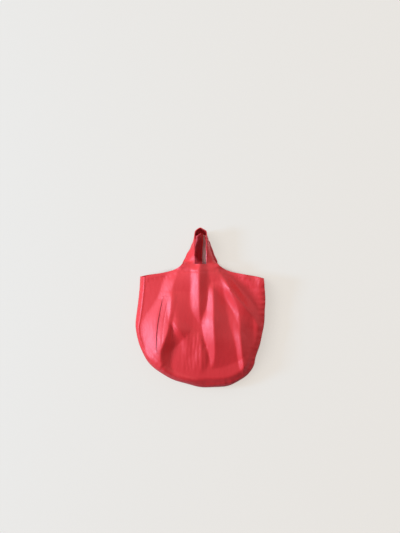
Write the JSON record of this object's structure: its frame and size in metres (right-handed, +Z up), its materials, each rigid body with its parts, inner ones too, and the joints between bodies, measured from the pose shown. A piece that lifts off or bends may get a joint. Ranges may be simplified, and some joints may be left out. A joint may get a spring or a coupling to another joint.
{
  "type": "reusable shopping bag",
  "caption": "Soft cloth shopping bag with a round bottom, a side gusset, a slit pocket and cut-out hand loops, hanging empty.",
  "frame": {"origin": "on the plane of the back panel's rear face, at the line along which both loops hang on one nail", "axes": "+Z up, the front panel faces -Y, the back panel's flat rear face is the plane y = 0"},
  "size_m": [0.4322, 0.0925, 0.5277],
  "materials": {
    "cloth": "plain woven cotton with a soft sheen",
    "lining": "plain woven cotton, matt",
    "tape": "narrow woven cotton tape"
  },
  "bodies": {
    "bag": {"front_panel": "cloth", "back_panel": "cloth", "gusset": "cloth", "front_neck_facing": "lining", "back_neck_facing": "lining", "pocket_facing": "lining", "pocket_front_layer": "lining", "pocket_back_layer": "lining", "front_seam_tape": "tape", "back_seam_tape": "tape"},
    "front_loop": {"front_handle": "cloth", "front_handle_lining": "lining"},
    "back_loop": {"back_handle": "cloth", "back_handle_lining": "lining"}
  },
  "joints": [
    {"name": "front_loop_fold", "type": "hinge", "parent": "bag", "child": "front_loop", "pos_m": [0, -0.06, -0.113], "axis": [1, 0, 0], "range_deg": [0, 150]},
    {"name": "back_loop_fold", "type": "hinge", "parent": "bag", "child": "back_loop", "pos_m": [0, 0, -0.113], "axis": [-1, 0, 0], "range_deg": [0, 150]}
  ]
}
